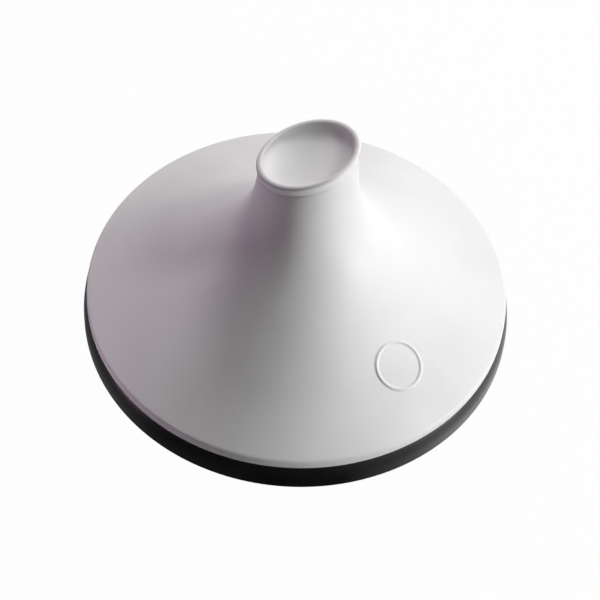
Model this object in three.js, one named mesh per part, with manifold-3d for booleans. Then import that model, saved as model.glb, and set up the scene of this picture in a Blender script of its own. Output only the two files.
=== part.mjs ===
// A tagine in glazed stoneware: a shallow dish and a flared lid with a slanted knob.
// Millimetres, +Z up. The origin is on the table, under the middle of the dish.
import * as THREE from 'three';
import { mergeVertices } from 'three/addons/utils/BufferGeometryUtils.js';
import Module from 'manifold-3d';

// Dish: outside
const DISH_RADIUS = 165;
const DISH_HEIGHT = 60;
const BAND_HEIGHT = 21.6;
const BAND_FOOT_ROUND = 6;
const SHOULDER_ROUND = 25;
const SHOULDER_HEIGHT = 12;
const RIM_EDGE_ROUND = 0.8;
const RIM_WIDTH = 14.5;
const RIM_ROUND = 1.8;
const FOOT_RADIUS = 112;
const FOOT_ROUND = 5;
const FOOT_RING_WIDTH = 15;
const FOOT_RECESS = 2.5;

// Dish: walls
const DISH_WALL = 8.5;
const DISH_FLOOR = 8;
const THROAT_ROUND = 14;
const FLOOR_ROUND = 26;

// Lid: rim and the flange that centres it in the dish
const LID_SETBACK = 2.9;
const LID_EDGE_UPRIGHT = 6;
const LID_EDGE_ROUND = 3;
const LID_EDGE_UNDERCUT = 1;
const FLANGE_CLEARANCE = 2;
const FLANGE_DROP = 8;
const FLANGE_WIDTH = 7;
const FLANGE_ROUND = 2.2;

// Lid: flared wall, from the rim edge to the foot of the knob's collar
const LID_WALL = 7;
const RIM_SLOPE = 28.5;
const RIM_REACH = 130;
const NECK_SLOPE = 85.5;
const NECK_REACH = 62;

// Knob: collar, lip and cup, before the slant
const KNOB_HEIGHT = 164;
const KNOB_RADIUS = 37;
const COLLAR_RADIUS = 35;
const COLLAR_HEIGHT = 12;
const COLLAR_STEP = 0.8;
const LIP_WIDTH = 4.8;
const CUP_DEPTH = 14;
const CUP_FLOOR = 10;
const NECK_CROWN = 14;

// Slant of the knob: its angle, the way that its high side faces, and where the neck starts to lean
const SLANT = 19.6;
const SLANT_AZIMUTH = -18.4;
const SLANT_SHIFT = 2.2;
const SLANT_START = 60;

// Plain raised ring on the lid's flank
const RING_RADIUS = 17.8;
const RING_BEAD_WIDTH = 3;
const RING_BEAD_HEIGHT = 1.2;
const RING_INSET = 44.4;
const RING_AZIMUTH = -47.9;

// Fineness of the facets
const TURN_STEPS = 48;
const ROUND_STEPS = 4;
const FLARE_STEPS = 12;
const CUP_STEPS = 8;
const RING_STEPS = 30;
const BEAD_STEPS = 8;

const radians = THREE.MathUtils.degToRad;

// Sizes that follow from the ones above
const openingRadius = DISH_RADIUS - RIM_WIDTH;
const bandFoot = DISH_HEIGHT - BAND_HEIGHT;
const floorTop = FOOT_RECESS + DISH_FLOOR;
const seat = DISH_HEIGHT;
const lidRadius = DISH_RADIUS - LID_SETBACK;
const flangeRadius = openingRadius - FLANGE_CLEARANCE;
const flangeInner = flangeRadius - FLANGE_WIDTH;
const lipRadius = LIP_WIDTH / 2;
const knobTop = seat + KNOB_HEIGHT;
const collarFoot = knobTop - COLLAR_HEIGHT;
const cupBottom = knobTop - CUP_DEPTH;
const hollowTop = cupBottom - CUP_FLOOR;

// A corner of an outline at radius r and height z, rounded by an arc of the given size.
function corner(r, z, round = 0) {
  return { at: new THREE.Vector2(r, z), round };
}

// Points of an outline whose corners are rounded by arcs. An arc takes at most half of a side.
function roundedOutline(corners) {
  const points = [];
  corners.forEach(({ at, round }, i) => {
    const before = corners[i - 1];
    const after = corners[i + 1];
    if (!before || !after || round === 0) {
      points.push(at.clone());
      return;
    }
    const back = before.at.clone().sub(at);
    const ahead = after.at.clone().sub(at);
    const halfSide = Math.min(back.length(), ahead.length()) / 2;
    back.normalize();
    ahead.normalize();
    const halfAngle = Math.acos(THREE.MathUtils.clamp(back.dot(ahead), -1, 1)) / 2;
    const trim = Math.min(round / Math.tan(halfAngle), halfSide);
    const radius = trim * Math.tan(halfAngle);
    const centre = back.clone().add(ahead).normalize();
    centre.multiplyScalar(radius / Math.sin(halfAngle)).add(at);
    const start = at.clone().addScaledVector(back, trim).sub(centre);
    const end = at.clone().addScaledVector(ahead, trim).sub(centre);
    const turn = Math.atan2(start.cross(end), start.dot(end));
    for (let step = 0; step <= ROUND_STEPS; step += 1) {
      const spoke = start.clone().rotateAround(new THREE.Vector2(), (turn * step) / ROUND_STEPS);
      points.push(spoke.add(centre));
    }
  });
  return points;
}

// A closed solid of revolution about +Z from an outline that starts and ends on the axis, or closes.
function turned(outline, steps) {
  const geometry = new THREE.LatheGeometry(outline, steps);
  geometry.rotateX(Math.PI / 2);
  geometry.deleteAttribute('normal');
  geometry.deleteAttribute('uv');
  return mergeVertices(geometry, 1e-4);
}

// Where the dish's inner flank, one wall inside its outer flank, crosses a height or a radius.
function innerFlank() {
  const foot = new THREE.Vector2(FOOT_RADIUS, 0);
  const along = new THREE.Vector2(DISH_RADIUS, bandFoot).sub(foot).normalize();
  const inward = new THREE.Vector2(-along.y, along.x);
  const start = foot.addScaledVector(inward, DISH_WALL);
  return {
    radiusAt: (z) => start.x + ((z - start.y) * along.x) / along.y,
    heightAt: (r) => start.y + ((r - start.x) * along.y) / along.x,
  };
}

// The rounded shoulder that draws the dish's band in to its rim.
function shoulderCorners() {
  const lean = Math.asin(SHOULDER_HEIGHT / SHOULDER_ROUND);
  const middle = new THREE.Vector2(DISH_RADIUS - SHOULDER_ROUND, DISH_HEIGHT - SHOULDER_HEIGHT);
  const arc = new THREE.EllipseCurve(middle.x, middle.y, SHOULDER_ROUND, SHOULDER_ROUND, 0, lean);
  const points = arc.getPoints(ROUND_STEPS);
  return points.map((point, i) => corner(point.x, point.y, i < ROUND_STEPS ? 0 : RIM_EDGE_ROUND));
}

function dishGeometry() {
  const flank = innerFlank();
  const recessRadius = FOOT_RADIUS - FOOT_RING_WIDTH;
  const outline = roundedOutline([
    corner(0, FOOT_RECESS),
    corner(recessRadius - FOOT_RECESS, FOOT_RECESS),
    corner(recessRadius, 0),
    corner(FOOT_RADIUS, 0, FOOT_ROUND),
    corner(DISH_RADIUS, bandFoot, BAND_FOOT_ROUND),
    ...shoulderCorners(),
    corner(openingRadius, DISH_HEIGHT, RIM_ROUND),
    corner(openingRadius, flank.heightAt(openingRadius), THROAT_ROUND),
    corner(flank.radiusAt(floorTop), floorTop, FLOOR_ROUND),
    corner(0, floorTop),
  ]);
  return turned(outline, TURN_STEPS);
}

// The flared outer line of the lid's wall, from the end of its rim edge up to the collar's foot.
function flareCurve() {
  const rimSlope = radians(RIM_SLOPE);
  const neckSlope = radians(NECK_SLOPE);
  const edgeCentre = new THREE.Vector2(lidRadius - LID_EDGE_ROUND, seat + LID_EDGE_UPRIGHT);
  const outward = new THREE.Vector2(Math.sin(rimSlope), Math.cos(rimSlope));
  const start = edgeCentre.addScaledVector(outward, LID_EDGE_ROUND);
  const end = new THREE.Vector2(COLLAR_RADIUS + COLLAR_STEP, collarFoot);
  const rimward = new THREE.Vector2(-Math.cos(rimSlope), Math.sin(rimSlope));
  const neckward = new THREE.Vector2(Math.cos(neckSlope), -Math.sin(neckSlope));
  const startHandle = start.clone().addScaledVector(rimward, RIM_REACH);
  const endHandle = end.clone().addScaledVector(neckward, NECK_REACH);
  return new THREE.CubicBezierCurve(start, startHandle, endHandle, end);
}

// Point of the lid's wall at a share of the flare's length, a depth below its outer face.
function wallPoint(flare, share, depth) {
  const along = flare.getTangentAt(share);
  return flare.getPointAt(share).add(new THREE.Vector2(-along.y, along.x).multiplyScalar(depth));
}

// The share of the flare's length at which a rising measure of the wall passes a value.
function wallPlace(measure, value) {
  let low = 0;
  let high = 1;
  for (let pass = 0; pass < 40; pass += 1) {
    const middle = (low + high) / 2;
    if (measure(middle) < value) {
      low = middle;
    } else {
      high = middle;
    }
  }
  return (low + high) / 2;
}

// Evenly spaced values from one end to the other, both ends included.
function spread(from, to, steps) {
  return Array.from({ length: steps + 1 }, (_, i) => from + ((to - from) * i) / steps);
}

// The cup, its round lip and the collar's wall, down to the small step where the neck starts.
function knobOutline() {
  const lipCentre = new THREE.Vector2(KNOB_RADIUS - lipRadius, knobTop - lipRadius);
  const cupRadius = KNOB_RADIUS - LIP_WIDTH;
  const cup = new THREE.EllipseCurve(0, lipCentre.y, cupRadius, lipCentre.y - cupBottom, -Math.PI / 2, 0);
  const lip = new THREE.EllipseCurve(lipCentre.x, lipCentre.y, lipRadius, lipRadius, Math.PI, 0, true);
  const collarEnd = new THREE.Vector2(COLLAR_RADIUS, collarFoot);
  return [...cup.getPoints(CUP_STEPS), ...lip.getPoints(ROUND_STEPS).slice(1), collarEnd];
}

// The hollow under the lid, from the flange's foot to the crown of the neck.
function hollowOutline(flare) {
  const inside = (share) => wallPoint(flare, share, LID_WALL);
  const mouth = wallPlace((share) => -inside(share).x, -flangeInner);
  const crown = wallPlace((share) => inside(share).y, hollowTop - NECK_CROWN);
  const wall = spread(mouth, crown, FLARE_STEPS).map(inside);
  const shoulder = inside(crown);
  const dome = new THREE.EllipseCurve(0, shoulder.y, shoulder.x, NECK_CROWN, 0, Math.PI / 2);
  return [...wall, ...dome.getPoints(ROUND_STEPS).slice(1)];
}

// The lid's rim: its rounded edge, the flat seat and the flange that drops into the dish.
function rimOutline(mouth) {
  const edge = new THREE.EllipseCurve(
    lidRadius - LID_EDGE_ROUND,
    seat + LID_EDGE_UPRIGHT,
    LID_EDGE_ROUND,
    LID_EDGE_ROUND,
    radians(90 - RIM_SLOPE),
    0,
    true,
  );
  const foot = seat - FLANGE_DROP;
  const underside = roundedOutline([
    corner(lidRadius, seat + LID_EDGE_UPRIGHT),
    corner(lidRadius, seat, LID_EDGE_UNDERCUT),
    corner(flangeRadius, seat),
    corner(flangeRadius, foot, FLANGE_ROUND),
    corner(flangeInner, foot, FLANGE_ROUND),
    corner(mouth.x, mouth.y),
  ]);
  return [...edge.getPoints(ROUND_STEPS), ...underside.slice(1, -1)];
}

// Lean the knob and the neck: a height moves with its place along the slant, more the higher it is.
function lean(geometry) {
  const rise = Math.tan(radians(SLANT));
  const towards = radians(SLANT_AZIMUTH);
  const way = new THREE.Vector3(Math.cos(towards), Math.sin(towards), 0);
  const place = geometry.attributes.position;
  const point = new THREE.Vector3();
  for (let i = 0; i < place.count; i += 1) {
    point.fromBufferAttribute(place, i);
    const share = THREE.MathUtils.smoothstep(point.z, seat + SLANT_START, collarFoot);
    const lift = rise * point.dot(way) * share;
    point.addScaledVector(way, SLANT_SHIFT * share);
    place.setXYZ(i, point.x, point.y, point.z + lift);
  }
  return geometry;
}

function lidGeometry(flare) {
  const hollow = hollowOutline(flare);
  const wall = spread(1, 0, FLARE_STEPS).map((share) => flare.getPointAt(share));
  const outline = [...knobOutline(), ...wall, ...rimOutline(hollow[0]).slice(1), ...hollow];
  outline.reverse();
  return lean(turned(outline, TURN_STEPS));
}

// The raised ring, laid on the lid's flank so that its bead follows the wall.
function ringGeometry(flare) {
  const section = new THREE.EllipseCurve(RING_RADIUS, 0, RING_BEAD_WIDTH / 2, RING_BEAD_HEIGHT);
  const geometry = turned(section.getPoints(BEAD_STEPS), RING_STEPS);
  const middle = wallPlace((share) => -flare.getPointAt(share).x, RING_INSET - lidRadius);
  const length = flare.getLength();
  const place = geometry.attributes.position;
  const point = new THREE.Vector3();
  for (let i = 0; i < place.count; i += 1) {
    point.fromBufferAttribute(place, i);
    const onWall = wallPoint(flare, middle + point.y / length, -point.z);
    const azimuth = radians(RING_AZIMUTH) + point.x / onWall.x;
    place.setXYZ(i, onWall.x * Math.cos(azimuth), onWall.x * Math.sin(azimuth), onWall.y);
  }
  return geometry;
}

const wasm = await Module();
wasm.setup();

// A closed geometry as a solid that can be joined.
function solid(geometry) {
  const vertProperties = new Float32Array(geometry.attributes.position.array);
  const triVerts = new Uint32Array(geometry.index.array);
  return new wasm.Manifold(new wasm.Mesh({ numProp: 3, vertProperties, triVerts }));
}

// One geometry made of two that overlap.
function joined(first, second) {
  const mesh = solid(first).add(solid(second)).getMesh();
  const geometry = new THREE.BufferGeometry();
  geometry.setAttribute('position', new THREE.BufferAttribute(mesh.vertProperties, 3));
  geometry.setIndex(new THREE.BufferAttribute(mesh.triVerts, 1));
  return geometry;
}

function piece(name, geometry, color, roughness) {
  geometry.computeVertexNormals();
  const mesh = new THREE.Mesh(geometry, new THREE.MeshStandardMaterial({ color, roughness, metalness: 0 }));
  mesh.name = name;
  return mesh;
}

const flare = flareCurve();
const tagine = new THREE.Group();
tagine.add(piece('dish', dishGeometry(), 0x26262a, 0.4));
tagine.add(piece('lid', joined(lidGeometry(flare), ringGeometry(flare)), 0xe6e3e1, 0.3));

export default tagine;
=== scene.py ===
"""A tagine in glazed stoneware: a charcoal dish and a white flared lid, in a pale studio.

Every size is in metres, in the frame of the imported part: +Z up, and the origin on the table under the dish.
Angles are in degrees unless a name says otherwise, and an azimuth runs from +X towards +Y.
"""

import logging
import math
from dataclasses import dataclass, field
from enum import Enum

import bpy
from mathutils import Matrix, Vector


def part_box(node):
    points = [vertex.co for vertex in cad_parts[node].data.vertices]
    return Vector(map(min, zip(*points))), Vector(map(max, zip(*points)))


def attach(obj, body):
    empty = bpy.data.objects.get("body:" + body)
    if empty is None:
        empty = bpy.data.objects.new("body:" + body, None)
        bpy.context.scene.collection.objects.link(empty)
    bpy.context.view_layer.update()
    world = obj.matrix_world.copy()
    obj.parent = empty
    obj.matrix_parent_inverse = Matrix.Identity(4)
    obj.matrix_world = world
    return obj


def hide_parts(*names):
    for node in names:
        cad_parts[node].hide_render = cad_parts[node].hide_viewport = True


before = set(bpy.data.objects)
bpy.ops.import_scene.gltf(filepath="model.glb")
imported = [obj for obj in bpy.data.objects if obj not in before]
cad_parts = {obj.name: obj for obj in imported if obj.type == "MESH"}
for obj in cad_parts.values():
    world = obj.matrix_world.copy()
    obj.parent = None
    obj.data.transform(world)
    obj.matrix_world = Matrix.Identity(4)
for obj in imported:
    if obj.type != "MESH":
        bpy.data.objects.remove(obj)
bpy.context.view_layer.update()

Colour = tuple[float, float, float]
Span = tuple[float, float]

LOG = logging.getLogger("tagine")
MM = 0.001
UP = Vector((0.0, 0.0, 1.0))

# Points of a mesh that lie closer together than this are one point.
WELD = 0.002 * MM


class Piece(Enum):
    """The pieces of the tagine, each named as its body and its CAD node are."""

    DISH = "dish"
    LID = "lid"


class Slot(Enum):
    """The record's material slots."""

    DISH_GLAZE = "dish_glaze"
    LID_GLAZE = "lid_glaze"


@dataclass(frozen=True)
class Corner:
    """A corner of a half section, rounded by an arc.

    Args:
        radius: Distance from the upright axis.
        height: Height above the table.
        fillet: Radius of the arc that rounds it, or 0 for a sharp corner.
    """

    radius: float
    height: float
    fillet: float = 0.0

    @property
    def place(self) -> Vector:
        """The corner as a point of the half section."""
        return Vector((self.radius, self.height))


def arc_points(centre: Vector, radii: Vector, start: float, end: float, steps: int) -> list[Vector]:
    """Points along an arc of an ellipse in the half section.

    Args:
        centre: Middle of the ellipse.
        radii: Half widths along radius and height.
        start: Angle of the first point, from the outward direction towards up.
        end: Angle of the last point.
        steps: Number of stretches between the points.

    Returns:
        The points in order, both ends included.
    """
    points = []
    for step in range(steps + 1):
        angle = math.radians(start + (end - start) * step / steps)
        points.append(centre + Vector((radii.x * math.cos(angle), radii.y * math.sin(angle))))
    return points


def rounded(corners: list[Corner], steps: int) -> list[Vector]:
    """Points of a chain of corners with each fillet drawn as an arc.

    Args:
        corners: The chain, in order. Its two ends stay sharp.
        steps: Number of stretches in each arc.

    Returns:
        The points in order. An arc takes up at most half of the shorter side next to it.
    """
    points = [corners[0].place]
    for before, here, after in zip(corners, corners[1:], corners[2:]):
        if here.fillet == 0.0:
            points.append(here.place)
            continue
        back = before.place - here.place
        ahead = after.place - here.place
        half_side = min(back.length, ahead.length) / 2
        back.normalize()
        ahead.normalize()
        half_angle = back.angle(ahead) / 2
        trim = min(here.fillet / math.tan(half_angle), half_side)
        centre = here.place + (back + ahead).normalized() * (trim / math.cos(half_angle))
        first = here.place + back * trim - centre
        turn = -first.angle_signed(here.place + ahead * trim - centre)
        for step in range(steps + 1):
            points.append(centre + Matrix.Rotation(turn * step / steps, 2) @ first)
    points.append(corners[-1].place)
    return points


def turned(name: str, outline: list[Vector], steps: int) -> bpy.types.Object:
    """Draw a half section by extruding a vertex, and spin it about the upright axis.

    Args:
        name: Name of the new object.
        outline: The half section as points of radius and height, in order.
        steps: Number of stretches in the turn.

    Returns:
        The object, at the origin, with its faces pointing out where the half section closes it.
    """
    bpy.ops.object.select_all(action="DESELECT")
    bpy.ops.mesh.primitive_plane_add(size=MM, location=(0, 0, 0))
    piece = bpy.context.object
    piece.name = name
    piece.data.name = name
    bpy.ops.object.mode_set(mode="EDIT")
    bpy.ops.mesh.select_mode(type="VERT")
    bpy.ops.mesh.select_all(action="SELECT")
    bpy.ops.mesh.merge(type="CENTER")
    bpy.ops.transform.translate(value=(outline[0].x, 0, outline[0].y))
    for here, after in zip(outline, outline[1:]):
        move = after - here
        bpy.ops.mesh.extrude_vertices_move(TRANSFORM_OT_translate={"value": (move.x, 0, move.y)})
    bpy.ops.mesh.select_all(action="SELECT")
    bpy.ops.mesh.spin(steps=steps, angle=math.tau, center=(0, 0, 0), axis=-UP)
    bpy.ops.mesh.select_all(action="SELECT")
    bpy.ops.mesh.remove_doubles(threshold=WELD)
    bpy.ops.mesh.normals_make_consistent(inside=False)
    bpy.ops.mesh.select_all(action="DESELECT")
    bpy.ops.mesh.select_mode(type="FACE")
    bpy.ops.object.mode_set(mode="OBJECT")
    return piece


@dataclass(frozen=True)
class Pattern:
    """A cloudy pattern that varies a finish.

    Args:
        scale: Number of patches in a metre.
        detail: Number of finer layers on it.
        rough: Strength of each finer layer against the one before.
        span: The pattern's values between which it takes effect, out of 0 to 1.
    """

    scale: float
    detail: float = 3.0
    rough: float = 0.5
    span: Span = (0.0, 1.0)


CLOUDS = Pattern(scale=14.0, span=(0.35, 0.7))
SATIN = Pattern(scale=28.0, detail=5.0, span=(0.3, 0.7))
FLECKS = Pattern(scale=900.0, detail=1.0, span=(0.66, 0.74))
WAVES = Pattern(scale=55.0, detail=2.0)
RIPPLE = Pattern(scale=330.0, detail=2.0)
GRAIN = Pattern(scale=1600.0, detail=4.0, rough=0.7)


class Desk:
    """The nodes of one material, laid out by a few short calls."""

    def __init__(self, name: str) -> None:
        """Start a material that holds its shader and the place on the surface.

        Args:
            name: Name of the material.
        """
        self.material = bpy.data.materials.new(name)
        self.material.use_nodes = True
        self.tree = self.material.node_tree
        self.shader = self.tree.nodes["Principled BSDF"]
        self.place = self.add("ShaderNodeTexCoord").outputs["Object"]

    def add(self, kind: str, **settings: object) -> bpy.types.Node:
        """Add a node.

        Args:
            kind: The node's type.
            settings: Properties of the node, by name.

        Returns:
            The new node.
        """
        node = self.tree.nodes.new(kind)
        for key, value in settings.items():
            setattr(node, key, value)
        return node

    def feed(self, socket: bpy.types.NodeSocket, value: object) -> None:
        """Link a socket to another node's output, or set it to a plain value.

        Args:
            socket: The socket.
            value: The output or the plain value.
        """
        if isinstance(value, bpy.types.NodeSocket):
            self.tree.links.new(value, socket)
        else:
            socket.default_value = value

    def maths(self, operation: str, *terms: object) -> bpy.types.NodeSocket:
        """A sum, product or other operation on numbers.

        Args:
            operation: Name of the operation.
            terms: Its terms, as numbers or outputs.

        Returns:
            The result's output.
        """
        node = self.add("ShaderNodeMath", operation=operation)
        for socket, term in zip(node.inputs, terms):
            self.feed(socket, term)
        return node.outputs[0]

    def noise(self, pattern: Pattern) -> bpy.types.NodeSocket:
        """A cloudy pattern at each place on the surface.

        Args:
            pattern: The pattern.

        Returns:
            The pattern's output, from 0 to 1.
        """
        node = self.add("ShaderNodeTexNoise")
        self.feed(node.inputs["Vector"], self.place)
        self.feed(node.inputs["Scale"], pattern.scale)
        self.feed(node.inputs["Detail"], pattern.detail)
        self.feed(node.inputs["Roughness"], pattern.rough)
        return node.outputs["Fac"]

    def ramp(self, value: object, span: Span, result: Span) -> bpy.types.NodeSocket:
        """A value carried smoothly from one span to another.

        Args:
            value: The value, as an output.
            span: Start and end of the span that it is taken from.
            result: Result at the start and at the end.

        Returns:
            The result's output.
        """
        node = self.add("ShaderNodeMapRange", interpolation_type="SMOOTHSTEP")
        for socket, term in zip(node.inputs, (value, *span, *result)):
            self.feed(socket, term)
        return node.outputs["Result"]

    def spread(self, pattern: Pattern, result: Span) -> bpy.types.NodeSocket:
        """A pattern's own span, carried smoothly to a result at each of its ends."""
        return self.ramp(self.noise(pattern), pattern.span, result)

    def blend(self, share: object, first: object, second: object) -> bpy.types.NodeSocket:
        """A mix of two colours.

        Args:
            share: Share of the second colour, from 0 to 1.
            first: Colour at 0, as a colour or an output.
            second: Colour at 1, as a colour or an output.

        Returns:
            The mix's output.
        """
        node = self.add("ShaderNodeMix", data_type="RGBA")
        colours = [socket for socket in node.inputs if socket.type == "RGBA"]
        self.feed(node.inputs["Factor"], share)
        for socket, colour in zip(colours, (first, second)):
            self.feed(socket, colour if isinstance(colour, bpy.types.NodeSocket) else (*colour, 1.0))
        return next(socket for socket in node.outputs if socket.type == "RGBA")

    def bump(self, height: object, depth: float, over: object = None) -> bpy.types.NodeSocket:
        """A bump of the surface.

        Args:
            height: Pattern from 0 to 1.
            depth: Depth of the pattern.
            over: Output of a bump that this one goes on, if there is one.

        Returns:
            The bent normal's output.
        """
        node = self.add("ShaderNodeBump")
        self.feed(node.inputs["Height"], height)
        self.feed(node.inputs["Distance"], depth)
        if over is not None:
            self.feed(node.inputs["Normal"], over)
        return node.outputs["Normal"]

    def set(self, name: str, value: object) -> None:
        """Feed one of the shader's own sockets by name."""
        self.feed(self.shader.inputs[name], value)


@dataclass(frozen=True)
class Glaze:
    """A fired glaze, with the bare clay that it leaves free where the pieces touch something.

    Args:
        name: Name of the material.
        tone: Main colour.
        shade: Colour where the glaze lies thicker.
        clay: Colour of the bare clay.
        gloss: Least and greatest roughness.
        reflect: Strength of the mirror reflection seen straight on, where 0.5 is glass.
        fleck: Share of a fleck's colour that shows.
        fleck_colour: Colour of the flecks.
        peel: Depth of the fine ripple in the glaze.
        wave: Depth of the wider waves in the glaze.
        bare_edge: Half the height over which the glaze runs out to bare clay.
        clay_shade: Share of the clay's colour that is left in the dark of its grain.
        clay_roughness: Roughness of the bare clay.
        clay_grain: Depth of the bare clay's grain.
    """

    name: str
    tone: Colour
    shade: Colour
    clay: Colour
    gloss: Span
    reflect: float
    fleck: float
    fleck_colour: Colour
    peel: float = 0.012 * MM
    wave: float = 0.036 * MM
    bare_edge: float = 0.15 * MM
    clay_shade: float = 0.72
    clay_roughness: float = 0.9
    clay_grain: float = 0.12 * MM

    def material(self, bare_below: float) -> bpy.types.Material:
        """Lay out the glaze's nodes.

        Args:
            bare_below: Height under which the clay is bare.

        Returns:
            The material.
        """
        desk = Desk(self.name)
        height = desk.add("ShaderNodeSeparateXYZ")
        desk.feed(height.inputs[0], desk.place)
        run_out = (bare_below - self.bare_edge, bare_below + self.bare_edge)
        bare = desk.ramp(height.outputs["Z"], run_out, (1.0, 0.0))
        glazed = desk.blend(desk.spread(CLOUDS, (0.0, 1.0)), self.tone, self.shade)
        glazed = desk.blend(desk.spread(FLECKS, (0.0, self.fleck)), glazed, self.fleck_colour)
        grain = desk.noise(GRAIN)
        dark_clay = tuple(self.clay_shade * part for part in self.clay)
        clay = desk.blend(grain, self.clay, dark_clay)
        desk.set("Base Color", desk.blend(bare, glazed, clay))
        matt_clay = desk.maths("MULTIPLY", bare, self.clay_roughness)
        desk.set("Roughness", desk.maths("MAXIMUM", desk.spread(SATIN, self.gloss), matt_clay))
        desk.set("Specular IOR Level", self.reflect)
        waves = desk.bump(desk.noise(WAVES), self.wave)
        ripple = desk.bump(desk.noise(RIPPLE), self.peel, waves)
        rough_clay = desk.maths("MULTIPLY", grain, bare)
        desk.set("Normal", desk.bump(rough_clay, self.clay_grain, ripple))
        return desk.material


WHITE_GLAZE = Glaze(
    name="white_satin_glaze",
    tone=(0.795, 0.785, 0.782),
    shade=(0.755, 0.745, 0.742),
    clay=(0.56, 0.46, 0.36),
    gloss=(0.46, 0.54),
    reflect=0.4,
    fleck=0.10,
    fleck_colour=(0.55, 0.53, 0.51),
)

CHARCOAL_GLAZE = Glaze(
    name="charcoal_satin_glaze",
    tone=(0.006, 0.006, 0.0065),
    shade=(0.010, 0.010, 0.0105),
    clay=(0.50, 0.40, 0.31),
    gloss=(0.26, 0.34),
    reflect=0.45,
    fleck=0.5,
    fleck_colour=(0.045, 0.043, 0.045),
)


@dataclass
class Dish:
    """The cooking dish: an upright band over a flank that draws in to a flat foot.

    Args:
        radius: Outside of the band.
        height: Table to the flat rim.
        band: Height of the upright band, its shoulder included.
        rim_width: Band's outside to the mouth.
        foot_radius: Outside of the foot.
        foot_ring: Width of the ring that stands on the table.
        foot_recess: Depth of the hollow inside the ring.
        wall: Thickness of the flank.
        floor: Thickness of the floor.
        shoulder_round: Radius of the shoulder that draws the band in to the rim.
        shoulder_height: Height of that shoulder.
        rim_edge_round: Rounding between the shoulder and the rim.
        rim_round: Rounding between the rim and the mouth.
        band_round: Rounding between the band and the flank.
        foot_round: Rounding between the flank and the foot.
        ring_round: Rounding of the foot ring's inner edge.
        recess_round: Rounding between the foot ring and the hollow inside it.
        throat_round: Rounding between the mouth and the flank's inside.
        floor_round: Rounding between the flank's inside and the floor.
        bare_foot: Height of the bare clay at the foot.
        smooth_angle: Greatest angle between faces that are shaded as one surface.
        steps: Number of stretches round the dish.
        arc_steps: Number of stretches in a rounding.
    """

    radius: float
    height: float
    band: float = 21.6 * MM
    rim_width: float = 14.5 * MM
    foot_radius: float = 112 * MM
    foot_ring: float = 15 * MM
    foot_recess: float = 2.5 * MM
    wall: float = 8.5 * MM
    floor: float = 8 * MM
    shoulder_round: float = 25 * MM
    shoulder_height: float = 12 * MM
    rim_edge_round: float = 0.8 * MM
    rim_round: float = 1.8 * MM
    band_round: float = 6 * MM
    foot_round: float = 5 * MM
    ring_round: float = 1 * MM
    recess_round: float = 2 * MM
    throat_round: float = 14 * MM
    floor_round: float = 26 * MM
    bare_foot: float = 1.2 * MM
    smooth_angle: float = 40.0
    steps: int = 192
    arc_steps: int = 8

    @property
    def opening(self) -> float:
        """Radius of the mouth inside the rim."""
        return self.radius - self.rim_width

    def shoulder(self) -> list[Corner]:
        """The rounded shoulder that draws the band in to the rim.

        Returns:
            Its corners, from the band up to the rim's outer edge.
        """
        lean = math.degrees(math.asin(self.shoulder_height / self.shoulder_round))
        middle = Vector((self.radius - self.shoulder_round, self.height - self.shoulder_height))
        radii = Vector((self.shoulder_round, self.shoulder_round))
        *arc, edge = arc_points(middle, radii, 0, lean, 2 * self.arc_steps)
        return [Corner(*point) for point in arc] + [Corner(edge.x, edge.y, self.rim_edge_round)]

    def outline(self) -> list[Vector]:
        """The half section.

        Returns:
            Its points, from the axis under the foot round to the axis on the floor.
        """
        band_foot = self.height - self.band
        floor_top = self.foot_recess + self.floor
        foot = Vector((self.foot_radius, 0.0))
        along = (Vector((self.radius, band_foot)) - foot).normalized()
        start = foot + Vector((-along.y, along.x)) * self.wall
        throat = start.y + (self.opening - start.x) * along.y / along.x
        floor_edge = start.x + (floor_top - start.y) * along.x / along.y
        ring_inner = self.foot_radius - self.foot_ring
        return rounded(
            [
                Corner(0.0, self.foot_recess),
                Corner(ring_inner - self.foot_recess, self.foot_recess, self.recess_round),
                Corner(ring_inner, 0.0, self.ring_round),
                Corner(self.foot_radius, 0.0, self.foot_round),
                Corner(self.radius, band_foot, self.band_round),
                *self.shoulder(),
                Corner(self.opening, self.height, self.rim_round),
                Corner(self.opening, throat, self.throat_round),
                Corner(floor_edge, floor_top, self.floor_round),
                Corner(0.0, floor_top),
            ],
            self.arc_steps,
        )

    def build(self) -> bpy.types.Object:
        """Turn the dish, glaze it and set it on its body.

        Returns:
            The finished dish.
        """
        piece = turned("dish_shell", self.outline(), self.steps)
        bpy.ops.object.shade_smooth_by_angle(angle=math.radians(self.smooth_angle))
        piece.data.materials.append(CHARCOAL_GLAZE.material(bare_below=self.bare_foot))
        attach(piece, Piece.DISH.value)
        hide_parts(Piece.DISH.value)
        return piece


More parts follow.
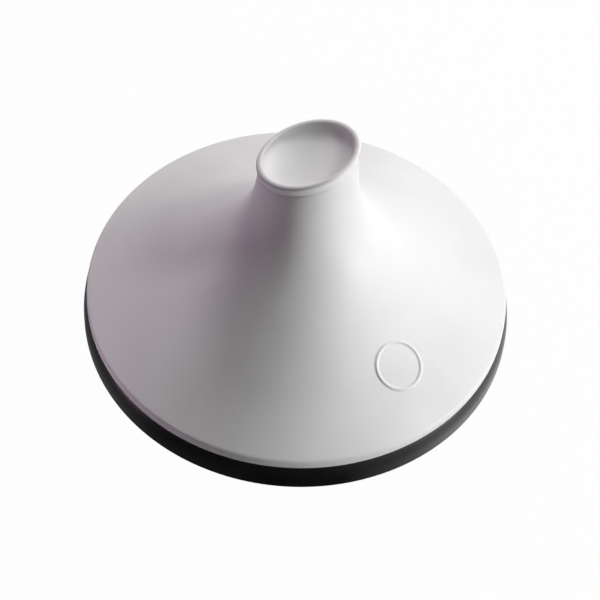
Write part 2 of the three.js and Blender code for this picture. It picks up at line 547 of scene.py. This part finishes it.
@dataclass
class Flare:
    """The lid's flared outer line, from the rim edge up to the foot of the knob's collar.

    Args:
        start: Lower end, at the rim edge.
        end: Upper end, at the collar.
        rim_slope: Slope at the lower end.
        rim_reach: How far the lower slope carries.
        neck_slope: Slope at the upper end.
        neck_reach: How far the upper slope carries.
        halvings: Number of halvings in the search for a place on the line.
    """

    start: Vector
    end: Vector
    rim_slope: float
    rim_reach: float
    neck_slope: float
    neck_reach: float
    halvings: int = 30
    controls: tuple[Vector, ...] = field(init=False)

    def __post_init__(self) -> None:
        """Set the four control points of the line."""
        rim = math.radians(self.rim_slope)
        neck = math.radians(self.neck_slope)
        low = self.start + Vector((-math.cos(rim), math.sin(rim))) * self.rim_reach
        high = self.end + Vector((math.cos(neck), -math.sin(neck))) * self.neck_reach
        self.controls = (self.start, low, high, self.end)

    def point(self, share: float) -> Vector:
        """A point of the line.

        Args:
            share: Its place along the line, from 0 at the rim to 1 at the collar.

        Returns:
            The point, as radius and height.
        """
        a, b, c, d = self.controls
        rest = 1.0 - share
        return a * rest**3 + b * (3 * rest**2 * share) + c * (3 * rest * share**2) + d * share**3

    def outward(self, share: float) -> Vector:
        """The direction square to the line, out of the wall.

        Args:
            share: Place along the line.

        Returns:
            The direction, of length 1.
        """
        a, b, c, d = self.controls
        rest = 1.0 - share
        along = (b - a) * rest**2 + (c - b) * (2 * rest * share) + (d - c) * share**2
        return Vector((along.y, -along.x)).normalized()

    def share_at(self, radius: float) -> float:
        """The place along the line where it stands at a radius.

        Args:
            radius: The radius.

        Returns:
            The place as a share.
        """
        low, high = 0.0, 1.0
        for _ in range(self.halvings):
            middle = (low + high) / 2
            if self.point(middle).x > radius:
                low = middle
            else:
                high = middle
        return (low + high) / 2

    def inner_point(self, share: float, wall: float) -> Vector:
        """Point of the wall's inner face."""
        return self.point(share) - self.outward(share) * wall


@dataclass
class Lid:
    """The lid: a flared cone with a rounded rim, a slanted and cupped knob and a plain raised ring.

    Args:
        radius: Outside of the rim.
        seat: Height of the dish's rim, on which the lid rests.
        opening: Radius of the dish's mouth, which the flange drops into.
        wall: Thickness of the flared wall.
        edge_upright: Seat to the middle of the rounding at the rim's top.
        edge_round: Rounding at the rim's top.
        edge_undercut: Rounding at the rim's foot.
        flange_gap: Gap all round between the flange and the dish.
        flange_drop: How far the flange reaches below the seat.
        flange_width: Thickness of the flange.
        flange_round: Rounding of the flange's foot.
        mouth_round: Rounding between the flange and the hollow.
        mouth_run: How far in the hollow's first stretch goes, which that rounding runs into.
        mouth_rise: How far up the hollow's first stretch goes.
        rim_slope: Slope of the flare at the rim.
        rim_reach: How far that slope carries.
        neck_slope: Slope of the flare at the collar.
        neck_reach: How far that slope carries.
        knob_height: Seat to the lip's top, before the slant.
        knob_radius: Outside of the lip.
        collar_radius: Outside of the collar under the lip.
        collar_height: Collar's foot to the lip's top.
        collar_step: How far the neck stands out from the collar.
        collar_ease: Height over which the collar runs out to the neck.
        collar_rounds: Roundings of the collar, from under the lip down to its foot.
        collar_tail: Stretch of the neck of which the rounding at the collar's foot takes up to half.
        lip_width: Thickness of the round lip.
        lip_end: Angle at which the lip's round ends underneath.
        lip_undercut: Drop from the end of the lip's round to the collar.
        cup_depth: Lip's top to the bottom of the cup.
        cup_floor: Clay between the cup and the hollow.
        crown: Height of the hollow's domed top.
        slant: Slant of the knob.
        slant_azimuth: Side that the knob's high end is on.
        slant_shift: How far the knob is shifted to that side.
        slant_start: Seat to the height at which the neck begins to lean.
        ring_radius: Radius of the ring at the middle of its bead.
        ring_width: Width of the bead.
        ring_height: Height of the bead.
        ring_inset: Rim's outside to the middle of the ring, seen from above.
        ring_azimuth: Side that the ring is on.
        ring_facing: Least cosine between a face of the ring's patch and the middle of the patch.
        ring_cuts: Number of cuts across each face of the patch.
        bare_seat: Seat to the edge of the glaze.
        smooth_angle: Greatest angle between faces that are shaded as one surface.
        steps: Number of stretches round the lid.
        arc_steps: Number of stretches in a rounding.
        flare_steps: Number of stretches along the flare.
        hollow_steps: Number of short stretches along the flare from which the hollow's are picked.
    """

    radius: float
    seat: float
    opening: float
    wall: float = 7 * MM
    edge_upright: float = 6 * MM
    edge_round: float = 3 * MM
    edge_undercut: float = 1 * MM
    flange_gap: float = 2 * MM
    flange_drop: float = 8 * MM
    flange_width: float = 7 * MM
    flange_round: float = 2.2 * MM
    mouth_round: float = 6 * MM
    mouth_run: float = 20 * MM
    mouth_rise: float = 11 * MM
    rim_slope: float = 28.5
    rim_reach: float = 130 * MM
    neck_slope: float = 85.5
    neck_reach: float = 62 * MM
    knob_height: float = 163.8 * MM
    knob_radius: float = 37 * MM
    collar_radius: float = 35 * MM
    collar_height: float = 12 * MM
    collar_step: float = 0.8 * MM
    collar_ease: float = 2.2 * MM
    collar_rounds: tuple[float, float, float] = (0.5 * MM, 1.0 * MM, 0.8 * MM)
    collar_tail: float = 0.5 * MM
    lip_width: float = 4.8 * MM
    lip_end: float = -45.0
    lip_undercut: float = 0.5 * MM
    cup_depth: float = 14 * MM
    cup_floor: float = 10 * MM
    crown: float = 14 * MM
    slant: float = 19.6
    slant_azimuth: float = -18.4
    slant_shift: float = 2.2 * MM
    slant_start: float = 60 * MM
    ring_radius: float = 17.8 * MM
    ring_width: float = 3.6 * MM
    ring_height: float = 1.0 * MM
    ring_inset: float = 44.4 * MM
    ring_azimuth: float = -47.9
    ring_facing: float = 0.7
    ring_cuts: int = 7
    bare_seat: float = 0.3 * MM
    smooth_angle: float = 50.0
    steps: int = 224
    arc_steps: int = 10
    flare_steps: int = 72
    hollow_steps: int = 400
    flare: Flare = field(init=False)

    def __post_init__(self) -> None:
        """Draw the flare between the rim edge and the collar."""
        slope = math.radians(self.rim_slope)
        self.flare = Flare(
            start=self.edge_centre + Vector((math.sin(slope), math.cos(slope))) * self.edge_round,
            end=Vector((self.collar_radius + self.collar_step, self.collar_foot)),
            rim_slope=self.rim_slope,
            rim_reach=self.rim_reach,
            neck_slope=self.neck_slope,
            neck_reach=self.neck_reach,
        )

    @property
    def edge_centre(self) -> Vector:
        """Middle of the rounding at the rim's top."""
        return Vector((self.radius - self.edge_round, self.seat + self.edge_upright))

    @property
    def flange_radius(self) -> float:
        """Outside of the flange."""
        return self.opening - self.flange_gap

    @property
    def knob_top(self) -> float:
        """Height of the knob's lip before the slant."""
        return self.seat + self.knob_height

    @property
    def collar_foot(self) -> float:
        """Height of the collar's foot before the slant."""
        return self.knob_top - self.collar_height

    def knob_outline(self) -> list[Vector]:
        """The cup, the round lip and the collar with the small step at its foot.

        Returns:
            The points from the middle of the cup to the collar's foot.
        """
        lip = self.lip_width / 2
        lip_centre = Vector((self.knob_radius - lip, self.knob_top - lip))
        rim = arc_points(lip_centre, Vector((lip, lip)), 180, self.lip_end, 2 * self.arc_steps)
        neck = self.flare.end
        top_round, ease_round, foot_round = self.collar_rounds
        collar = rounded(
            [
                Corner(rim[-1].x, rim[-1].y),
                Corner(rim[-1].x, rim[-1].y - self.lip_undercut, top_round),
                Corner(self.collar_radius, neck.y + self.collar_ease, ease_round),
                Corner(neck.x, neck.y, foot_round),
                Corner(neck.x, neck.y - self.collar_tail),
            ],
            self.arc_steps // 2,
        )
        cup_radii = Vector((self.knob_radius - self.lip_width, self.cup_depth - lip))
        cup = arc_points(Vector((0.0, lip_centre.y)), cup_radii, -90, 0, 3 * self.arc_steps)
        return cup + rim[1:] + collar[1:-1]

    def rim_outline(self, mouth: Vector) -> list[Vector]:
        """The rounded edge, the flat seat and the flange.

        Args:
            mouth: Lower end of the hollow, where the flange's inner face meets it.

        Returns:
            The points from the edge's top to the rounding at the mouth.
        """
        radii = Vector((self.edge_round, self.edge_round))
        edge = arc_points(self.edge_centre, radii, 90 - self.rim_slope, 0, self.arc_steps)
        flange = self.flange_radius
        foot = self.seat - self.flange_drop
        under = rounded(
            [
                Corner(self.radius, self.seat + self.edge_upright),
                Corner(self.radius, self.seat, self.edge_undercut),
                Corner(flange, self.seat),
                Corner(flange, foot, self.flange_round),
                Corner(flange - self.flange_width, foot, self.flange_round),
                Corner(mouth.x, mouth.y, self.mouth_round),
                Corner(mouth.x - self.mouth_run, mouth.y + self.mouth_rise),
            ],
            self.arc_steps,
        )
        return edge + under[1:-1]

    def hollow_outline(self) -> list[Vector]:
        """The hollow under the wall.

        Returns:
            The points from the flange up to the crown of the neck.
        """
        inner = self.flange_radius - self.flange_width
        top = self.knob_top - self.cup_depth - self.cup_floor
        shares = [step / self.hollow_steps for step in range(self.hollow_steps + 1)]
        wall = [self.flare.inner_point(share, self.wall) for share in shares]
        wall = [point for point in wall if point.x < inner and point.y < top - self.crown]
        shoulder = wall[-1]
        radii = Vector((shoulder.x, self.crown))
        dome = arc_points(Vector((0.0, shoulder.y)), radii, 0, 90, 2 * self.arc_steps)
        return wall[:: self.hollow_steps // self.flare_steps] + dome

    def outline(self) -> list[Vector]:
        """The whole half section.

        Returns:
            The points from the middle of the cup round to the crown of the hollow.
        """
        hollow = self.hollow_outline()
        shares = [1 - step / self.flare_steps for step in range(1, self.flare_steps)]
        outside = [self.flare.point(share) for share in shares]
        # The rounding at the mouth takes the place of the hollow's first two points.
        return self.knob_outline() + outside + self.rim_outline(hollow[0]) + hollow[2:]

    def lean(self, piece: bpy.types.Object) -> None:
        """Slant the knob, and lean the neck towards it more the higher it is.

        Args:
            piece: The turned lid.
        """
        rise = math.tan(math.radians(self.slant))
        azimuth = math.radians(self.slant_azimuth)
        way = Vector((math.cos(azimuth), math.sin(azimuth), 0.0))
        foot = self.seat + self.slant_start
        for vertex in piece.data.vertices:
            share = min(max((vertex.co.z - foot) / (self.collar_foot - foot), 0.0), 1.0)
            share = share * share * (3 - 2 * share)
            lift = rise * vertex.co.dot(way) * share
            vertex.co += way * (self.slant_shift * share) + UP * lift

    def raise_ring(self, piece: bpy.types.Object) -> None:
        """Raise a plain ring on the flank, in a patch of finer faces.

        Args:
            piece: The turned lid.
        """
        share = self.flare.share_at(self.radius - self.ring_inset)
        middle = self.flare.point(share)
        outward = self.flare.outward(share)
        azimuth = math.radians(self.ring_azimuth)
        spoke = Vector((math.cos(azimuth), math.sin(azimuth), 0.0))
        centre = spoke * middle.x + UP * middle.y
        normal = spoke * outward.x + UP * outward.y
        reach = self.ring_radius + 2 * self.ring_width
        for polygon in piece.data.polygons:
            away = polygon.center - centre
            polygon.select = away.length < reach and polygon.normal.dot(normal) > self.ring_facing
        bpy.ops.object.mode_set(mode="EDIT")
        bpy.ops.mesh.subdivide(number_cuts=self.ring_cuts)
        bpy.ops.object.mode_set(mode="OBJECT")
        for vertex in piece.data.vertices:
            away = vertex.co - centre
            if away.length > reach or abs(away.dot(normal)) > self.wall / 2:
                continue
            around = Vector((vertex.co.x, vertex.co.y, 0.0))
            here = self.flare.share_at(around.length)
            point = self.flare.point(here)
            square = self.flare.outward(here)
            around.normalize()
            away -= normal * away.dot(normal)
            across = min(abs(away.length - self.ring_radius) / (self.ring_width / 2), 1.0)
            bead = self.ring_height * (1 + math.cos(math.pi * across)) / 2
            vertex.co = around * (point.x + square.x * bead) + UP * (point.y + square.y * bead)

    def build(self) -> bpy.types.Object:
        """Turn the lid, slant its knob, raise its ring, glaze it and set it on its body.

        Returns:
            The finished lid.
        """
        piece = turned("lid_shell", self.outline(), self.steps)
        self.lean(piece)
        self.raise_ring(piece)
        bpy.ops.object.shade_smooth_by_angle(angle=math.radians(self.smooth_angle))
        piece.data.materials.append(WHITE_GLAZE.material(bare_below=self.seat + self.bare_seat))
        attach(piece, Piece.LID.value)
        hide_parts(Piece.LID.value)
        return piece


def blank_material(name: str) -> bpy.types.Material:
    """A material whose nodes are all still to be laid out.

    Args:
        name: Name of the material.

    Returns:
        The material.
    """
    material = bpy.data.materials.new(name)
    material.use_nodes = True
    material.node_tree.nodes.clear()
    return material


@dataclass(frozen=True)
class SoftBox:
    """A square lamp that looks at the tagine.

    Args:
        name: Name of the lamp.
        azimuth: Side that it stands on.
        elevation: Height above the horizon.
        distance: Distance from what it lights.
        size: Length of its sides.
        power: Power in watts.
        colour: Colour of its light.
    """

    name: str
    azimuth: float
    elevation: float
    distance: float
    size: float
    power: float
    colour: Colour = (1.0, 1.0, 1.0)

    def place(self, target: Vector) -> bpy.types.Object:
        """Hang the lamp.

        Args:
            target: Point that it faces.

        Returns:
            The lamp.
        """
        azimuth, elevation = math.radians(self.azimuth), math.radians(self.elevation)
        flat = math.cos(elevation)
        towards = Vector((flat * math.cos(azimuth), flat * math.sin(azimuth), math.sin(elevation)))
        bpy.ops.object.light_add(type="AREA", location=target + towards * self.distance)
        lamp = bpy.context.object
        lamp.name = self.name
        lamp.rotation_euler = towards.to_track_quat("Z", "Y").to_euler()
        lamp.data.size = self.size
        lamp.data.energy = self.power
        lamp.data.color = self.colour
        lamp.visible_camera = False
        return lamp


FILL_TINT: Colour = (1.0, 0.74, 0.97)
GLOW_TINT: Colour = (1.0, 0.7, 0.96)

LAMPS = (
    SoftBox("key_low", azimuth=342.0, elevation=5.0, distance=1.6, size=0.3, power=13.4),
    SoftBox("key_high", azimuth=348.0, elevation=55.0, distance=1.6, size=0.25, power=7.8),
    SoftBox("reflector", azimuth=323.0, elevation=5.0, distance=1.0, size=0.15, power=0.78),
    SoftBox("back_high", azimuth=72.0, elevation=53.0, distance=1.6, size=0.5, power=12.1),
    SoftBox("back_low", azimuth=74.0, elevation=8.0, distance=1.6, size=0.3, power=3.2),
    SoftBox("fill", azimuth=166.0, elevation=5.0, distance=1.6, size=0.25, power=3.7, colour=FILL_TINT),
    SoftBox("glow", azimuth=203.0, elevation=1.0, distance=0.42, size=0.1, power=0.1, colour=GLOW_TINT),
)


@dataclass(frozen=True)
class Curtain:
    """A round curtain and the ground before it, which only mirror reflections see, painted with the shade
    that the glaze mirrors.

    Args:
        tones: Azimuth and brightness of each stop, as painted reflected shade that is dark in front and on
            the left, where it stands for the floor in the tagine's shadow. The brightness runs evenly between
            them.
        near: Radius of the ground's inner edge.
        far: Radius of the curtain.
        height: Height of the curtain.
        clear: Height of its ground over the floor.
        steps: Number of stretches round it.
    """

    tones: tuple[Span, ...]
    near: float = 0.1
    far: float = 0.9
    height: float = 0.8
    clear: float = 1 * MM
    steps: int = 96

    def turns(self) -> list[Span]:
        """The stops as shares of a turn that starts at -X, in order, each with its brightness."""
        return sorted(((azimuth + 180.0) % 360.0 / 360.0, tone) for azimuth, tone in self.tones)

    def reflected_shade(self) -> bpy.types.Material:
        """Painted reflected shade that shines as brightly as the stops say at each azimuth.

        Returns:
            The material.
        """
        material = blank_material("painted_reflected_shade")
        tree = material.node_tree
        place = tree.nodes.new("ShaderNodeTexCoord")
        around = tree.nodes.new("ShaderNodeTexGradient")
        around.gradient_type = "RADIAL"
        ramp = tree.nodes.new("ShaderNodeValToRGB")
        shine = tree.nodes.new("ShaderNodeEmission")
        output = tree.nodes.new("ShaderNodeOutputMaterial")
        turns = self.turns()
        stops = ramp.color_ramp.elements
        while len(stops) > 1:
            stops.remove(stops[-1])
        stops[0].position = turns[0][0]
        for position, _ in turns[1:]:
            stops.new(position)
        for stop, (_, tone) in zip(stops, turns):
            stop.color = (tone, tone, tone, 1.0)
        tree.links.new(place.outputs["Object"], around.inputs["Vector"])
        tree.links.new(around.outputs["Fac"], ramp.inputs["Fac"])
        tree.links.new(ramp.outputs["Color"], shine.inputs["Color"])
        tree.links.new(shine.outputs[0], output.inputs["Surface"])
        return material

    def hang(self) -> bpy.types.Object:
        """Spin the curtain round the tagine and hide it from all but mirror rays.

        Returns:
            The curtain.
        """
        ground = [Vector((self.near, self.clear)), Vector((self.far, self.clear))]
        curtain = turned("curtain", [*ground, Vector((self.far, self.height))], self.steps)
        # Painted shade that the glaze mirrors, dark where it stands for the floor in shadow.
        curtain.data.materials.append(self.reflected_shade())
        curtain.visible_camera = False
        curtain.visible_diffuse = False
        curtain.visible_transmission = False
        curtain.visible_shadow = False
        return curtain


# Painted reflected shade: dark in front and on the left, where it stands for the floor in the tagine's shadow
# and the dim room in front, and white to the right and behind.
CURTAIN = Curtain(
    tones=(
        (132.0, 1.0),
        (150.0, 0.18),
        (210.0, 0.18),
        (226.0, 0.06),
        (254.0, 0.06),
        (266.0, 0.01),
        (288.0, 0.01),
        (297.0, 0.18),
        (304.0, 0.3),
        (311.0, 0.5),
        (324.0, 1.0),
    )
)


@dataclass
class Studio:
    """The white surround, the pale floor, the curtain of painted reflected shade, the lamps and the camera.

    Args:
        rim: Height of the dish's rim.
        aim_right: How far right of the axis the camera and the lamps aim.
        aim_drop: How far below the dish's rim they aim.
        elevation: Height of the camera above the horizon.
        roll: Turn of the camera about its own axis.
        distance: Distance of the camera from its aim.
        lens: Focal length in millimetres.
        sensor: Width of the sensor in millimetres.
        floor_size: Length of the floor's sides.
        floor_colour: Colour of the floor as a lit surface.
        floor_white: Share of plain white in what the camera, mirrors and glass see of the floor.
        curtain: The curtain of painted reflected shade that the glaze mirrors.
        lamps: The lamps.
    """

    rim: float
    aim_right: float = 2.94 * MM
    aim_drop: float = 8.40 * MM
    elevation: float = 52.14
    roll: float = 3.69
    distance: float = 1.6
    lens: float = 123.11
    sensor: float = 36.0
    floor_size: float = 12.0
    floor_colour: Colour = (0.6, 0.6, 0.6)
    floor_white: float = 0.98
    curtain: Curtain = CURTAIN
    lamps: tuple[SoftBox, ...] = LAMPS

    @property
    def target(self) -> Vector:
        """Point that the camera and the lamps look at."""
        return Vector((self.aim_right, 0.0, self.rim - self.aim_drop))

    def camera(self) -> bpy.types.Object:
        """Set the camera at the photograph's angle, with its slight roll.

        Returns:
            The camera.
        """
        elevation, roll = math.radians(self.elevation), math.radians(self.roll)
        back = Vector((0.0, -math.cos(elevation), math.sin(elevation)))
        right = Vector((1.0, 0.0, 0.0))
        above = back.cross(right)
        across = right * math.cos(roll) + above * math.sin(roll)
        upward = above * math.cos(roll) - right * math.sin(roll)
        bpy.ops.object.camera_add(location=self.target + back * self.distance)
        camera = bpy.context.object
        camera.rotation_euler = Matrix((across, upward, back)).transposed().to_euler()
        camera.data.lens = self.lens
        camera.data.sensor_width = self.sensor
        bpy.context.scene.camera = camera
        return camera

    @staticmethod
    def seen(tree: bpy.types.NodeTree) -> bpy.types.NodeSocket:
        """Tell the rays that see the white surround from those that carry light.

        Args:
            tree: Nodes to add to.

        Returns:
            Output that is 1 for rays of the camera, mirrors and glass, and 0 for the rest.
        """
        path = tree.nodes.new("ShaderNodeLightPath")
        total = path.outputs["Is Camera Ray"]
        for name in ("Is Glossy Ray", "Is Transmission Ray"):
            node = tree.nodes.new("ShaderNodeMath")
            node.operation = "MAXIMUM"
            tree.links.new(total, node.inputs[0])
            tree.links.new(path.outputs[name], node.inputs[1])
            total = node.outputs[0]
        return total

    def floor(self) -> bpy.types.Object:
        """Lay the pale floor, which looks white and keeps a faint shadow.

        Returns:
            The floor.
        """
        bpy.ops.object.select_all(action="DESELECT")
        bpy.ops.mesh.primitive_plane_add(size=self.floor_size, location=(0, 0, 0))
        floor = bpy.context.object
        floor.name = "floor"
        material = blank_material("pale_floor")
        tree = material.node_tree
        matt = tree.nodes.new("ShaderNodeBsdfDiffuse")
        matt.inputs["Color"].default_value = (*self.floor_colour, 1.0)
        white = tree.nodes.new("ShaderNodeEmission")
        share = tree.nodes.new("ShaderNodeMath")
        share.operation = "MULTIPLY"
        share.inputs[1].default_value = self.floor_white
        mix = tree.nodes.new("ShaderNodeMixShader")
        output = tree.nodes.new("ShaderNodeOutputMaterial")
        tree.links.new(self.seen(tree), share.inputs[0])
        tree.links.new(share.outputs[0], mix.inputs["Fac"])
        tree.links.new(matt.outputs[0], mix.inputs[1])
        tree.links.new(white.outputs[0], mix.inputs[2])
        tree.links.new(mix.outputs[0], output.inputs["Surface"])
        floor.data.materials.append(material)
        return floor

    def world(self) -> bpy.types.World:
        """Hang the white surround, which is seen straight, in mirrors and through glass, and lights nothing.

        Returns:
            The surround.
        """
        world = bpy.data.worlds.new("surround")
        world.use_nodes = True
        tree = world.node_tree
        background = tree.nodes["Background"]
        background.inputs["Color"].default_value = (1.0, 1.0, 1.0, 1.0)
        tree.links.new(self.seen(tree), background.inputs["Strength"])
        bpy.context.scene.world = world
        return world

    def build(self) -> None:
        """Set up the whole studio."""
        self.world()
        self.floor()
        self.curtain.hang()
        self.camera()
        for lamp in self.lamps:
            lamp.place(self.target)
        bpy.context.scene.view_settings.view_transform = "Standard"


def main() -> None:
    """Build the tagine and the studio round it."""
    logging.basicConfig(level=logging.INFO, format="%(message)s")
    _, dish_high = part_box(Piece.DISH.value)
    _, lid_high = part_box(Piece.LID.value)
    dish = Dish(radius=dish_high[0], height=dish_high[2])
    lid = Lid(radius=lid_high[0], seat=dish_high[2], opening=dish.opening)
    for piece in (dish.build(), lid.build()):
        LOG.info("%s: %d faces", piece.name, len(piece.data.polygons))
    Studio(rim=dish_high[2]).build()


if __name__ == "__main__":
    main()
